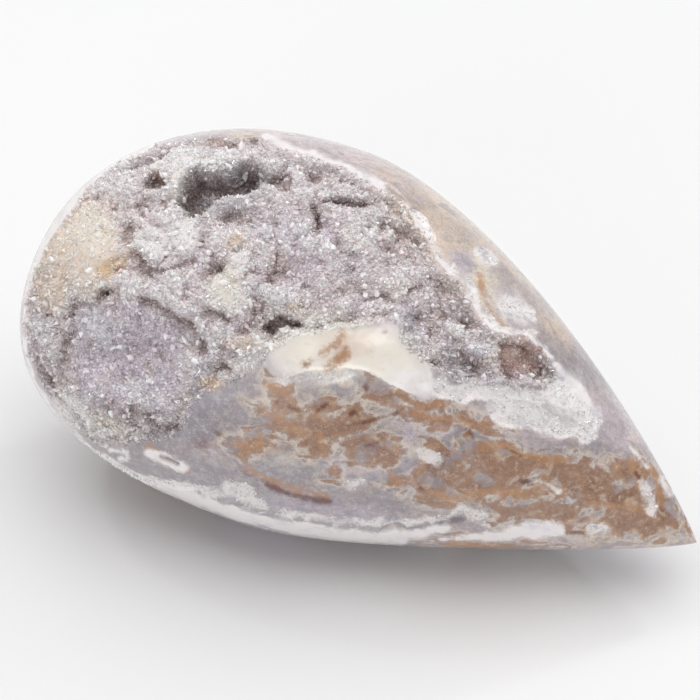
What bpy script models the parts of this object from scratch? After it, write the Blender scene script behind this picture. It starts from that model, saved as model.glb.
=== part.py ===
"""A polished shell agate: a fossil snail shell filled with agate, ground to a teardrop and lying on its side.

The stone is one solid. Its blunt end is at -X, its spire tip at +X, and it rests on a small flat
spot ground on the belly. The worn face, which looks forwards and up, has open hollows that were
vugs inside the shell. Lengths are in metres. The origin is on the floor, under the middle of the
stone's bounding box.
"""

import math

import bmesh
import bpy
from mathutils import Matrix, Vector

MM = 0.001

# Driving dimensions of the ground teardrop
LENGTH = 78.0 * MM
HALF_WIDTH = 21.3 * MM
WIDEST_AT = 30.5 * MM
BLUNT_POWER = 2.3
TAPER_EASE = 0.25
TAPER_PULL = 0.764
TIP_POWER = 0.898
FACE_FLATNESS = 0.86
BACK_FLATNESS = 0.98

# How far the two ends curl forwards and down from the widest section, at one length away from it
CURL_FORWARD = 11.6 * MM
CURL_DOWN = 13.0 * MM

# How the stone lies: the tip is lower than the middle, and the face leans forwards from straight up
TIP_PITCH = math.radians(10.5)
FACE_LEAN = math.radians(48.0)

# The flat spot on the belly: how much is ground away below the lowest point
FOOT_GRIND = 0.7 * MM

# The way the worn face looks: turned towards +X from straight ahead, and raised
FACE_TURN = math.radians(18.6)
FACE_RAISE = math.radians(42.0)

# Hollows of the worn face: place along and across the face from the widest section's centre,
# half length, half width, turn in degrees and depth, all lengths in millimetres
HOLLOWS = {
    "left_bowl": (-18.6, -1.6, 8.6, 6.2, -12.0, 3.8),
    "left_bowl_corner": (-22.5, 2.0, 4.2, 3.2, 30.0, 3.2),
    "upper_cave": (-8.0, 16.2, 4.6, 2.7, 8.0, 5.5),
    "upper_cave_apron": (-6.5, 13.2, 4.6, 2.6, 0.0, 2.4),
    "upper_pit": (-15.4, 17.0, 1.7, 1.4, 0.0, 2.0),
    "plate_cave": (-2.2, 1.6, 3.4, 1.3, 8.0, 2.6),
    "crest_notch": (2.4, 13.6, 3.2, 1.5, 25.0, 2.0),
    "valley_head": (9.0, 9.6, 5.5, 3.0, -42.0, 2.2),
    "valley": (14.0, 3.0, 6.6, 3.6, -52.0, 3.4),
    "right_pocket": (21.6, -2.6, 5.6, 2.3, -18.0, 3.6),
}

RINGS = 44
SEGMENTS = 60
CUTTER_SUBDIVISIONS = 3


def face_axes():
    """Unit vectors to the right, up and straight out of the worn face."""
    outward = Vector((
        math.sin(FACE_TURN) * math.cos(FACE_RAISE),
        -math.cos(FACE_TURN) * math.cos(FACE_RAISE),
        math.sin(FACE_RAISE),
    ))
    rightward = Vector((math.cos(FACE_TURN), math.sin(FACE_TURN), 0.0))
    return rightward, outward.cross(rightward), outward


def section_radius(along):
    """Half width of the stone this far from the blunt end: a round cap, then a swelling taper."""
    if along <= WIDEST_AT:
        before = (WIDEST_AT - along) / WIDEST_AT
        return HALF_WIDTH * max(0.0, 1.0 - before**BLUNT_POWER) ** (1.0 / BLUNT_POWER)
    past = (along - WIDEST_AT) / (LENGTH - WIDEST_AT)
    narrowing = past**2 * ((1.0 + TAPER_EASE) / (past + TAPER_EASE)) ** TAPER_PULL
    return HALF_WIDTH * max(0.0, 1.0 - narrowing) ** TIP_POWER


def on_teardrop(direction):
    """Where a point of the unit sphere goes on the teardrop, before the stone is laid down.

    The sphere's Z runs from the blunt end to the tip, its X is straight out of the worn side.
    The section is two half ellipses, a flatter one on the worn side, and the centre line curls.
    """
    along = LENGTH * (1.0 + direction.z) / 2.0
    radius = section_radius(along)
    around = Vector((direction.x, direction.y))
    if around.length > 0.0:
        around.normalize()
    flatness = FACE_FLATNESS if around.x > 0.0 else BACK_FLATNESS
    out_of_face = radius * flatness * around.x
    sideways = radius * around.y
    curl = ((along - WIDEST_AT) / LENGTH) ** 2
    return Vector((
        along - WIDEST_AT,
        -out_of_face * math.sin(FACE_LEAN) + sideways * math.cos(FACE_LEAN) - CURL_FORWARD * curl,
        out_of_face * math.cos(FACE_LEAN) + sideways * math.sin(FACE_LEAN) - CURL_DOWN * curl,
    ))


def agate_material():
    """Grey lavender polished agate."""
    material = bpy.data.materials.new("agate")
    material.use_nodes = True
    shader = material.node_tree.nodes["Principled BSDF"]
    shader.inputs["Base Color"].default_value = (0.55, 0.48, 0.45, 1.0)
    shader.inputs["Roughness"].default_value = 0.2
    shader.inputs["Metallic"].default_value = 0.0
    return material


def make_stone(collection):
    """The teardrop from a sphere, laid on its side, standing over the origin.

    Returns the object and the place of its widest section's centre.
    """
    mesh = bpy.data.meshes.new("shell_agate")
    shape = bmesh.new()
    bmesh.ops.create_uvsphere(shape, u_segments=SEGMENTS, v_segments=RINGS, radius=1.0)
    lay_down = Matrix.Rotation(TIP_PITCH, 3, "Y")
    for vertex in shape.verts:
        vertex.co = lay_down @ on_teardrop(vertex.co)
    bmesh.ops.recalc_face_normals(shape, faces=shape.faces)

    lowest = Vector(min(vertex.co[axis] for vertex in shape.verts) for axis in range(3))
    highest = Vector(max(vertex.co[axis] for vertex in shape.verts) for axis in range(3))
    middle = (lowest + highest) / 2.0
    centre = Vector((-middle.x, -middle.y, -lowest.z - FOOT_GRIND))
    bmesh.ops.translate(shape, verts=shape.verts, vec=centre)
    shape.to_mesh(mesh)
    shape.free()

    stone = bpy.data.objects.new("shell_agate", mesh)
    collection.objects.link(stone)
    mesh.materials.append(agate_material())
    mesh.shade_smooth()
    return stone, centre


def keep_as_cutter(cutter, collection):
    """Takes a cutter out of the render and puts it with the other cutters."""
    for old in list(cutter.users_collection):
        old.objects.unlink(cutter)
    collection.objects.link(cutter)
    cutter.hide_render = True
    cutter.display_type = "WIRE"


def cut(stone, cutter, name):
    """Cuts the cutter's shape out of the stone."""
    boolean = stone.modifiers.new(name, "BOOLEAN")
    boolean.operation = "DIFFERENCE"
    boolean.object = cutter
    boolean.solver = "EXACT"


def hollow_cutter(name, stone, centre, sizes):
    """An ellipsoid whose middle lies on the face, as long, wide and deep as the hollow.

    It looks half way between straight out of the worn face and straight out of the surface there.
    """
    along, across, half_length, half_width, turn, depth = sizes
    rightward, upward, outward = face_axes()
    above = centre + (rightward * along + upward * across) * MM + outward * LENGTH
    hit, point, normal, _ = stone.ray_cast(above, -outward)
    if not hit:
        raise ValueError(f"hollow {name} misses the stone")
    mouth = (outward + normal).normalized()
    level = (rightward - mouth * rightward.dot(mouth)).normalized()
    bpy.ops.mesh.primitive_ico_sphere_add(subdivisions=CUTTER_SUBDIVISIONS, radius=1.0)
    cutter = bpy.context.object
    cutter.name = f"cutter_{name}"
    cutter.data.transform(Matrix.Diagonal((half_length * MM, half_width * MM, depth * MM, 1.0)))
    cutter.data.transform(Matrix.Rotation(math.radians(turn), 4, "Z"))
    mouth_turn = Matrix((level, mouth.cross(level), mouth)).transposed().to_4x4()
    cutter.matrix_world = Matrix.Translation(point) @ mouth_turn
    return cutter


def foot_cutter():
    """A block whose top is the floor."""
    bpy.ops.mesh.primitive_cube_add(size=LENGTH, location=(0.0, 0.0, -LENGTH / 2.0))
    cutter = bpy.context.object
    cutter.name = "cutter_foot"
    return cutter


def main():
    for old in list(bpy.data.objects):
        bpy.data.objects.remove(old)
    finished = bpy.data.collections.new("shell_agate")
    cutters = bpy.data.collections.new("cutters")
    for collection in (finished, cutters):
        bpy.context.scene.collection.children.link(collection)

    stone, centre = make_stone(finished)
    bpy.context.view_layer.update()
    tools = {name: hollow_cutter(name, stone, centre, sizes) for name, sizes in HOLLOWS.items()}
    tools["foot"] = foot_cutter()
    for name, tool in tools.items():
        keep_as_cutter(tool, cutters)
        cut(stone, tool, name)


main()
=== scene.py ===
"""The looks of the shell agate: a fossil shell turned to agate, with druse-lined hollows on its worn face.

The stone is one closed surface worked out with numpy: the ground teardrop of the CAD part, pushed in
where the druse and its hollows lie. Quartz points grow out of the druse as small closed crystals.
Lengths are in millimetres, measured from the centre of the widest section, until a mesh is made.
Places on the worn face are given as (along, across): rightwards and upwards as the face is seen.
"""

import math

import bpy
import numpy as np
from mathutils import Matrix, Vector


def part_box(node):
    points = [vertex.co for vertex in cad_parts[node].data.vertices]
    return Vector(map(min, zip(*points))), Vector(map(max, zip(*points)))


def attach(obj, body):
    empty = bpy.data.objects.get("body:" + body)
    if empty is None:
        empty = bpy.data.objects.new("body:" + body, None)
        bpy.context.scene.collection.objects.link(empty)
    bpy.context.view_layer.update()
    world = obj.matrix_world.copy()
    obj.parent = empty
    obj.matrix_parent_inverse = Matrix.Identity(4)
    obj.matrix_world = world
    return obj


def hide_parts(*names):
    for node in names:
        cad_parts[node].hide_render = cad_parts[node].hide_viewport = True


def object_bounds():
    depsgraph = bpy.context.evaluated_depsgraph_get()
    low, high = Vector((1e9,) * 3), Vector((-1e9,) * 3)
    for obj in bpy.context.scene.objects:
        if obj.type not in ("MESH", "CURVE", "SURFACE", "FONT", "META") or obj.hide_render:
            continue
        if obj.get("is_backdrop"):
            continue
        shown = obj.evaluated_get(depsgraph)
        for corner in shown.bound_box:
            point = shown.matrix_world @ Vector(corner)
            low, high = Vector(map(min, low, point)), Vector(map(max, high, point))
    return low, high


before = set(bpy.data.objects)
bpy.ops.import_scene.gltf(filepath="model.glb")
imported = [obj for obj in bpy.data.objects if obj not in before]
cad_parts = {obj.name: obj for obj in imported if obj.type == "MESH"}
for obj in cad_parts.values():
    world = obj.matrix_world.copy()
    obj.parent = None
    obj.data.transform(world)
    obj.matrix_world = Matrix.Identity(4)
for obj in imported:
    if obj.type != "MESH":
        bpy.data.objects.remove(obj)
cad_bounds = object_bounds()

MM = 0.001
SEED = 11

# The ground teardrop, as in the CAD part
LENGTH = 78.0
HALF_WIDTH = 21.3
WIDEST_AT = 30.5
BLUNT_POWER = 2.3
TAPER_EASE = 0.25
TAPER_PULL = 0.764
TIP_POWER = 0.898
FACE_FLATNESS = 0.86
BACK_FLATNESS = 0.98
CURL_FORWARD = 11.6
CURL_DOWN = 13.0
TIP_PITCH = math.radians(10.5)
FACE_LEAN = math.radians(48.0)
FACE_TURN = math.radians(18.6)
FACE_RAISE = math.radians(42.0)

# The stone's grid: rows from the blunt end to the tip, columns around, closest on the worn face
ROWS = 366
COLUMNS = 268
FACE_CROWDING = 0.45

# Out of the stone at either end is away from the middle of the row this many rows further in
END_ROWS = 40

# Gaps: where no drawn shape is near, and what is added to a gap away from the worn face
FAR = 99.0
OFF_FACE = 60.0

# How deep the druse's bed lies before its hollows, and at its shallowest
BED_DEPTH = 0.75
LEAST_DEPTH = 0.12

# The quartz points: how unlike their shades are, the share that is frosted, the share of the height that
# is sunk in the stone, and the most light that one gives back
SHADE_SPREAD = 0.22
FROSTED_SHARE = 0.06
SUNK = 0.3
BRIGHTEST = 0.93

RIGHT = np.array([math.cos(FACE_TURN), math.sin(FACE_TURN), 0.0])
OUT = np.array([
    math.sin(FACE_TURN) * math.cos(FACE_RAISE),
    -math.cos(FACE_TURN) * math.cos(FACE_RAISE),
    math.sin(FACE_RAISE),
])
UP = np.cross(OUT, RIGHT)

# Colours as they look on a screen, and the power that turns them into light
GAMMA = 2.2
PALETTE = {
    "rosy_grey": (0.885, 0.825, 0.835),
    "lavender": (0.805, 0.755, 0.815),
    "haze": (0.865, 0.850, 0.885),
    "slate": (0.590, 0.575, 0.615),
    "shadow": (0.400, 0.375, 0.380),
    "umber": (0.560, 0.470, 0.440),
    "plum": (0.680, 0.590, 0.640),
    "cocoa": (0.745, 0.590, 0.535),
    "peach": (0.965, 0.890, 0.825),
    "cream": (0.955, 0.925, 0.870),
    "chalk": (0.970, 0.948, 0.945),
    "ivory": (0.870, 0.845, 0.815),
    "tan": (0.870, 0.790, 0.715),
    "amber": (0.890, 0.740, 0.560),
    "sienna": (0.615, 0.515, 0.450),
    "rust": (0.590, 0.445, 0.360),
    "ochre": (0.735, 0.555, 0.405),
    "oxblood": (0.400, 0.225, 0.190),
    "polish": (0.645, 0.610, 0.625),
}

# Outline of the druse, clockwise from the lower left
DRUSE_OUTLINE = (
    (-22.5, -10.8), (-25.2, -8.6), (-26.8, -6.4), (-28.0, -4.2), (-29.4, -1.5), (-29.8, 1.5),
    (-29.3, 4.5), (-28.4, 7.5), (-27.0, 10.5), (-25.2, 13.3), (-22.6, 16.2), (-19.5, 18.6),
    (-16.0, 20.4), (-12.5, 21.2), (-9.0, 21.2), (-6.5, 21.5), (-4.7, 21.2), (-3.4, 20.0), (-1.3, 19.5),
    (0.8, 18.8), (3.0, 18.2), (5.2, 17.0), (7.6, 15.4), (9.8, 14.6), (10.9, 13.2), (11.2, 12.2),
    (12.4, 10.6), (12.9, 9.4), (13.5, 7.8), (13.8, 6.9), (15.0, 6.1), (16.4, 4.8), (17.2, 3.2),
    (18.3, 1.5), (19.5, 0.3), (20.9, -0.1), (22.3, -0.2), (24.0, -1.0), (25.3, -2.4), (26.3, -3.6),
    (26.4, -4.5), (25.3, -4.8), (24.6, -5.5), (23.0, -5.2), (20.5, -5.0), (18.0, -5.0), (16.4, -4.5),
    (15.0, -3.8), (13.2, -3.0), (12.2, -2.3), (11.0, -1.5), (10.2, -0.1), (10.0, 1.2), (9.2, 2.0),
    (8.0, 1.8), (6.0, 1.4), (3.2, 1.1), (1.2, 0.3), (-0.8, 0.5), (-2.4, -0.3), (-4.0, -1.4),
    (-4.9, -3.0), (-7.0, -4.2), (-9.4, -4.9), (-11.4, -6.1), (-12.7, -8.0), (-13.2, -9.7),
    (-14.6, -10.5), (-17.0, -10.8), (-19.8, -11.3),
)

# The smooth white plate of shell that stands over the druse
PLATE_OUTLINE = (
    (-4.6, -3.1), (-3.6, -1.3), (-1.8, -0.3), (-0.4, 0.4), (1.4, 0.3), (3.2, 1.1), (6.0, 1.4),
    (8.3, 1.9), (9.4, 1.8), (10.0, 0.9), (10.2, -0.3), (11.5, -1.8), (12.6, -2.6), (13.4, -3.8),
    (14.0, -5.4), (13.6, -6.6), (12.4, -6.7), (11.0, -6.1), (9.8, -5.3), (8.6, -4.9), (7.4, -4.2),
    (5.6, -3.6), (3.5, -3.4), (1.5, -3.3), (-0.4, -3.7), (-1.8, -4.2), (-3.2, -3.9),
)

# Hollows: along, across, half length, half width, turn in degrees, depth, and the share of the way in
# that its wall takes
HOLLOWS = {
    "left_bowl": (-18.6, -1.6, 9.4, 6.4, -12.0, 2.6, 1.0),
    "left_bowl_corner": (-23.2, 1.4, 4.2, 3.4, 40.0, 0.9, 1.0),
    "left_low_dish": (-18.0, -8.2, 4.2, 2.0, -12.0, 0.8, 1.0),
    "cave_apron": (-6.5, 13.2, 4.8, 2.6, 0.0, 1.7, 1.0),
    "cave_lobe": (-2.3, 17.0, 1.7, 2.0, 0.0, 1.6, 0.4),
    "upper_pit": (-15.4, 17.1, 1.7, 1.35, 0.0, 1.9, 0.45),
    "left_crevice": (-18.4, 11.6, 0.7, 2.5, -12.0, 0.7, 0.8),
    "rim_pit": (-21.3, 5.3, 1.3, 0.6, 20.0, 1.3, 0.6),
    "plum_dip": (-9.4, 7.2, 1.3, 1.2, 0.0, 0.9, 0.6),
    "centre_dip": (-2.0, 7.2, 2.6, 1.5, 10.0, 0.8, 1.0),
    "cave_slope": (-5.6, 1.2, 2.4, 1.4, 20.0, 1.0, 1.0),
    "crest_notch": (1.1, 13.3, 0.8, 1.8, 8.0, 1.3, 0.6),
    "crest_arch": (4.6, 14.6, 3.8, 1.1, -4.0, 1.1, 0.7),
    "valley_head": (9.6, 9.6, 5.2, 3.0, -44.0, 1.2, 1.0),
    "valley": (14.0, 2.2, 7.4, 4.4, -50.0, 1.2, 1.0),
    "valley_foot": (17.2, -2.7, 4.6, 2.3, -18.0, 1.2, 0.9),
}

# Hollows with a drawn mouth: outline, depth, width of the wall
CAVES = {
    "upper_cave": ((
        (-13.2, 14.4), (-13.0, 16.2), (-12.0, 17.5), (-10.7, 18.8), (-9.5, 18.4), (-8.2, 18.1), (-6.5, 18.8),
        (-4.6, 19.2), (-3.6, 18.4), (-3.7, 17.0), (-4.6, 16.0), (-6.2, 15.5), (-8.2, 15.1), (-9.6, 14.2),
        (-10.6, 12.9), (-11.6, 12.4), (-12.5, 13.2),
    ), 4.6, 0.6),
    "upper_cave_back": ((
        (-9.0, 17.2), (-7.0, 18.0), (-4.8, 18.4), (-4.2, 17.4), (-5.6, 16.4), (-8.2, 16.2),
    ), 4.8, 0.9),
    "plate_cave": ((
        (-5.2, 1.0), (-4.2, 2.0), (-3.0, 2.6), (-2.2, 2.75), (-1.2, 2.4), (-0.3, 1.8), (0.5, 1.0),
        (-0.4, 0.7), (-2.2, 0.6), (-3.6, 0.2),
    ), 2.4, 0.5),
    "right_pocket": ((
        (20.4, -0.6), (21.2, -0.1), (22.6, -0.3), (24.1, -1.1), (25.4, -2.5), (26.4, -3.7), (26.4, -4.5),
        (25.3, -4.8), (24.6, -5.5), (23.0, -5.2), (21.0, -5.0), (20.2, -3.6), (20.6, -2.0),
    ), 1.2, 0.6),
}

# Steps in the druse: a path that the ground drops away to the right of, the drop, and how far it reaches
SCARPS = {
    "bowl_upper_left": ((
        (-27.2, -3.4), (-26.6, 0.6), (-25.2, 3.4), (-23.0, 4.9), (-20.6, 6.1), (-18.0, 6.4),
    ), 1.3, 3.0),
    "bowl_upper_right": ((
        (-18.0, 5.2), (-15.8, 4.4), (-14.0, 4.3), (-12.3, 3.2), (-10.6, 1.2), (-9.6, -0.4), (-9.2, -2.4),
    ), 1.6, 3.4),
    "under_frost": (((-18.4, 10.0), (-16.6, 8.8), (-14.8, 8.2), (-13.0, 8.9), (-10.6, 9.8)), 1.2, 1.4),
    "under_ridge": (((-6.2, 3.4), (-3.4, 3.9), (-0.8, 3.5), (1.4, 2.0)), 0.6, 1.2),
    "crest_left": (((-0.2, 11.0), (0.6, 13.4), (1.6, 14.8), (4.0, 15.6), (8.0, 14.8)), 0.9, 1.6),
    "valley_crest": ((
        (19.8, 0.2), (18.3, 1.7), (17.2, 3.3), (16.3, 4.9), (14.9, 6.2), (13.7, 7.2), (13.2, 8.8),
        (12.3, 10.6), (11.0, 12.4), (8.6, 13.4),
    ), 0.9, 2.4),
}

# Small pits in the polished face, in the same terms
PITS = {
    "gold_pocket": (25.9, -16.2, 1.7, 0.6, -18.0, 0.25, 0.9),
    "gold_pocket_left": (23.8, -15.8, 1.1, 0.4, 10.0, 0.3, 0.9),
    "low_pocket": (9.6, -20.3, 1.4, 0.6, 8.0, 1.0, 0.6),
    "low_pocket_right": (16.0, -19.5, 2.0, 0.55, 16.0, 1.0, 0.6),
    "eye_slit": (-14.4, -12.9, 1.1, 0.22, -22.0, 0.5, 0.7),
    "tip_notch": (29.4, -20.9, 1.5, 0.35, -12.0, 0.4, 0.7),
}

# Rounded swells of the druse: along, across, half length, half width, turn in degrees, height
SWELLS = {
    "peach_mound": (-23.0, 11.0, 4.0, 4.0, 30.0, 0.5),
    "frost_mound_left": (-16.0, 10.5, 2.1, 1.8, 0.0, 1.5),
    "frost_mound_right": (-12.3, 10.9, 1.9, 1.6, 0.0, 1.3),
    "cream_mound": (-7.6, 4.9, 2.4, 2.7, 0.0, 1.5),
    "cream_mound_top": (-6.2, 8.0, 1.5, 1.2, 0.0, 1.1),
    "bowl_rim": (-16.8, 5.2, 4.6, 1.2, -16.0, 0.6),
    "cave_ridge": (-3.0, 4.7, 3.2, 1.0, -6.0, 0.7),
    "cave_pillar": (-12.8, 16.4, 0.9, 2.4, -8.0, 0.7),
    "bowl_rim_left": (-13.6, 6.0, 2.2, 1.6, -20.0, 0.9),
    "rim_knob": (-12.4, 3.4, 1.1, 0.9, 0.0, 0.9),
    "ridge_knob": (-4.2, 5.2, 1.8, 1.2, 0.0, 0.9),
    "cave_ledge": (-8.4, 19.4, 1.6, 0.7, 12.0, 0.9),
    "crest_swell": (6.4, 11.2, 1.8, 2.6, -25.0, 0.6),
    "valley_knob": (16.2, 0.8, 1.2, 0.9, 0.0, 1.0),
    "valley_tongue": (19.0, -1.3, 1.6, 0.8, -20.0, 0.8),
}

# Granular zones where fine crystals reach the polished face: strokes of points, then half width
FROST = (
    (((-2.6, -4.6), (0.4, -4.2), (4.6, -4.4)), 0.35),
    (((14.4, -4.9), (17.0, -5.9), (21.0, -6.0), (24.2, -6.8)), 0.9),
    (((20.5, -7.6), (24.0, -8.8), (27.0, -10.2), (30.0, -10.4)), 1.1),
    (((-24.8, -11.4), (-20.6, -13.6), (-16.8, -15.2), (-12.2, -15.9), (-8.3, -16.5), (-4.4, -17.9)), 0.5),
    (((-8.4, -16.0), (-6.0, -16.6)), 0.75),
    (((-2.6, -18.6), (3.0, -19.6), (8.6, -19.9), (13.6, -19.2), (18.4, -18.8)), 0.35),
    (((18.4, 8.6), (20.0, 7.8)), 0.35),
    (((21.6, 4.0), (24.4, 2.2)), 0.45),
    (((4.8, -15.4), (5.4, -15.2)), 0.5),
    (((12.0, -12.2), (13.4, -12.8)), 0.5),
    (((36.0, -16.4), (37.0, -18.2)), 0.5),
    (((17.0, -18.6), (19.0, -19.4)), 0.6),
    (((31.0, -20.6), (32.4, -20.8)), 0.35),
    (((-24.6, -8.0), (-21.0, -10.6)), 0.8),
    (((25.6, -5.6), (28.0, -6.6), (30.4, -9.2)), 1.2),
    (((11.6, 13.4), (13.4, 10.4), (14.6, 8.0), (16.6, 6.0), (18.6, 3.2), (20.6, 1.2), (24.0, 0.2)), 0.3),
)

# Brown stains in the polished face: along, across, half length, half width, turn in degrees
STAINS = (
    (-2.5, -6.2, 1.0, 1.9, 28.0), (-2.0, -8.6, 2.6, 1.0, -14.0), (1.0, -9.2, 2.6, 1.5, -10.0),
    (0.8, -11.0, 2.0, 1.3, -40.0), (4.0, -9.2, 2.4, 0.7, 4.0), (-5.9, -10.8, 1.6, 0.9, 10.0),
    (2.0, -7.0, 1.4, 0.8, 15.0), (5.0, -8.0, 0.8, 0.6, 0.0), (8.8, -6.4, 2.1, 0.9, -22.0),
    (6.5, -5.0, 0.5, 0.9, 0.0), (7.0, -11.8, 3.2, 1.4, -10.0), (9.2, -14.8, 1.0, 0.7, 0.0),
    (2.8, -14.5, 0.7, 0.5, 0.0), (13.6, -7.2, 1.8, 0.4, 18.0), (15.2, -8.6, 3.2, 0.5, -10.0),
    (18.0, -9.6, 2.0, 0.6, -6.0), (17.2, -11.0, 0.7, 1.5, 0.0), (14.0, -14.0, 2.5, 3.2, 0.0),
    (18.4, -15.8, 3.4, 1.4, 6.0), (20.5, -12.4, 3.4, 1.1, -14.0), (25.2, -13.4, 3.6, 0.9, -6.0),
    (21.0, -14.4, 3.8, 1.0, 0.0), (26.0, -14.8, 2.6, 0.6, -8.0), (22.4, -17.2, 3.0, 0.7, -4.0),
    (28.5, -19.2, 4.0, 0.6, -6.0), (30.5, -15.8, 1.8, 1.2, 0.0), (34.6, -14.8, 2.2, 1.5, -14.0),
    (33.8, -17.8, 4.4, 1.4, -10.0), (38.2, -18.4, 1.4, 2.2, 30.0), (35.5, -20.3, 5.0, 1.0, 0.0),
    (21.8, -18.8, 2.0, 0.4, 0.0), (18.0, -22.6, 4.2, 0.5, -2.0),
)

# Amber veins in the polished face, as strokes
VEINS = (
    (((-4.0, -4.9), (-2.8, -5.0), (-1.8, -6.2), (-1.0, -7.4)), 0.20),
    (((-3.8, -7.8), (-2.0, -8.9), (-0.4, -10.0)), 0.22),
    (((-7.0, -10.9), (-5.8, -11.3), (-4.8, -10.8), (-4.7, -9.8)), 0.25),
    (((-4.4, -12.0), (-3.2, -11.7)), 0.10),
    (((1.4, -10.2), (2.4, -12.4)), 0.18),
    (((11.8, -7.6), (13.6, -6.9), (15.4, -6.9)), 0.16),
    (((11.6, -8.2), (14.0, -8.3), (16.0, -9.0), (17.4, -9.5), (19.2, -9.4)), 0.2),
    (((18.8, -11.6), (21.0, -11.6), (23.2, -12.7), (26.0, -13.2), (28.2, -13.3)), 0.35),
    (((12.0, -14.4), (12.4, -12.6), (13.2, -11.6)), 0.16),
    (((13.6, -16.6), (15.4, -17.3), (18.4, -16.6), (20.8, -16.6), (23.2, -17.0)), 0.3),
    (((37.0, -14.2), (37.5, -16.4), (38.2, -18.2)), 0.22),
    (((30.2, -17.6), (33.0, -18.3), (36.8, -18.9)), 0.14),
    (((34.6, -13.6), (35.6, -15.4)), 0.3),
    (((-12.9, -13.9), (-12.2, -14.1)), 0.16),
    (((-16.6, -11.4), (-15.6, -12.2)), 0.2),
    (((9.0, -14.2), (9.7, -15.2)), 0.28),
    (((18.6, 6.4), (19.0, 4.4)), 0.2),
    (((19.4, 3.4), (20.4, 1.6), (21.6, 0.9)), 0.16),
    (((15.0, -22.4), (20.0, -22.6)), 0.25),
    (((2.0, -1.6), (3.2, -0.9), (3.9, 0.3)), 0.25),
    (((2.6, -3.2), (3.4, -2.4), (4.4, -1.8)), 0.3),
    (((0.2, -2.8), (0.8, -2.6)), 0.22),
    (((24.6, -15.9), (26.2, -16.2), (27.2, -16.7)), 0.4),
    (((-6.0, -13.6), (-4.2, -14.7), (-2.4, -15.5), (0.0, -16.2), (2.4, -16.7)), 0.25),
)

# Dark oxblood and umber marks, as strokes
SPECKS = (
    (((-1.7, -7.1), (-0.8, -7.5)), 0.1),
    (((-3.4, -6.4), (-2.8, -6.7)), 0.06),
    (((1.5, -7.5), (2.4, -6.9)), 0.1),
    (((4.8, -8.0), (5.2, -8.0)), 0.22),
    (((4.2, -9.1), (7.0, -8.9), (9.8, -8.2)), 0.0),
    (((3.7, -11.2), (4.1, -11.2)), 0.14),
    (((6.4, -11.5), (7.8, -11.2)), 0.02),
    (((6.4, -5.4), (6.6, -5.5)), 0.16),
    (((-6.2, -14.1), (-4.4, -15.1), (-3.2, -15.8)), 0.0),
    (((-4.0, -15.4), (-1.4, -16.5), (2.4, -17.3)), 0.14),
    (((0.0, -16.9), (2.5, -17.3)), 0.22),
    (((-9.0, -9.9), (-8.8, -10.1)), 0.16),
    (((17.0, -9.9), (17.6, -10.6)), 0.12),
    (((0.4, -2.9), (0.7, -2.8)), 0.12),
    (((2.8, -3.3), (3.0, -3.2)), 0.12),
    (((8.4, 0.5), (8.5, 0.6)), 0.08),
    (((-15.4, -12.5), (-13.6, -13.2)), 0.05),
    (((12.1, -16.0), (12.3, -16.2)), 0.10),
    (((11.6, 13.6), (12.0, 13.4)), 0.12),
    (((22.9, -15.6), (23.8, -15.7)), 0.10),
    (((21.2, -12.0), (23.0, -12.8)), 0.0),
    (((35.2, -14.8), (35.8, -15.8)), 0.1),
)

# White shell in the polished face: the rim and the bands, as strokes
SHELL = (
    (((-30.2, 0.0), (-29.4, -4.0), (-26.8, -8.6), (-22.6, -12.3), (-17.6, -15.2)), 0.4),
    # The lower rim: white shell, drawn wider and whiter to stand in for the light the floor throws on it, partly
    # painted reflected light
    ((
        (-17.6, -15.3), (-14.1, -16.6), (-12.0, -17.3), (-8.3, -18.6), (-4.6, -19.6), (-0.9, -20.5),
        (2.9, -21.1), (6.6, -21.5), (10.3, -21.8),
    ), 0.8),
    (((-15.0, -15.3), (-14.4, -15.5)), 0.35),
    (((-13.2, -15.8), (-12.3, -16.1)), 0.28),
    (((2.0, -20.6), (7.0, -21.2), (12.0, -21.2), (15.0, -20.4)), 0.5),
    (((14.6, -21.9), (20.0, -21.3)), 0.3),
    (((19.6, -21.3), (24.0, -20.9)), 0.6),
    (((23.4, -20.9), (26.6, -20.6)), 0.8),
    (((31.4, -20.6), (32.2, -20.6)), 0.3),
    (((-29.9, 2.0), (-29.2, 6.6), (-27.4, 11.0), (-24.8, 14.9), (-21.2, 18.2), (-16.0, 21.0)), 0.45),
    (((25.4, -5.4), (28.2, -6.0), (30.2, -8.4)), 0.9),
    (((27.0, -3.4), (28.8, -5.6), (31.2, -8.6)), 0.5),
    (((11.0, 14.0), (12.6, 12.4), (13.6, 10.0)), 0.25),
    (((14.4, 8.4), (15.6, 6.8), (17.6, 4.8), (18.9, 2.4), (20.6, 0.9), (23.4, 0.3), (26.4, -2.6)), 0.2),
    (((-3.6, 21.4), (-1.4, 20.2), (1.6, 19.3), (5.2, 17.6), (8.4, 15.8)), 0.4),
    (((-16.6, -12.2), (-14.6, -12.9), (-12.8, -13.7)), 0.45),
    (((24.2, -15.6), (25.6, -15.9), (26.8, -16.6)), 0.1),
    (((-20.6, -11.9), (-19.0, -12.0), (-18.8, -12.7), (-19.8, -12.9)), 0.18),
    (((34.8, -12.2), (36.4, -14.2)), 0.12),
    (((38.2, -15.8), (39.0, -17.4)), 0.42),
)

# Places where the druse is smooth, with few points and an even colour: along, across, half length,
# half width, turn, strength
SMOOTH = (
    (-23.2, 10.2, 5.0, 4.6, 35.0, 0.85), (-16.0, 10.6, 2.4, 2.0, 0.0, 0.85),
    (-12.3, 10.9, 2.1, 1.8, 0.0, 0.8), (-8.0, 5.4, 2.4, 2.8, 0.0, 0.75), (-6.6, 8.2, 1.5, 1.3, 0.0, 0.75),
    (-13.2, 16.2, 1.2, 2.6, -8.0, 0.8), (-26.8, 5.0, 1.8, 3.4, -14.0, 0.5),
    (-12.6, 19.5, 2.8, 1.4, 12.0, 0.6), (23.2, -2.6, 2.8, 2.0, -26.0, 0.6),
    (-25.4, -7.2, 2.4, 1.6, -35.0, 0.7), (-18.6, -1.8, 8.0, 5.6, -12.0, 0.25),
)

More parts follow.
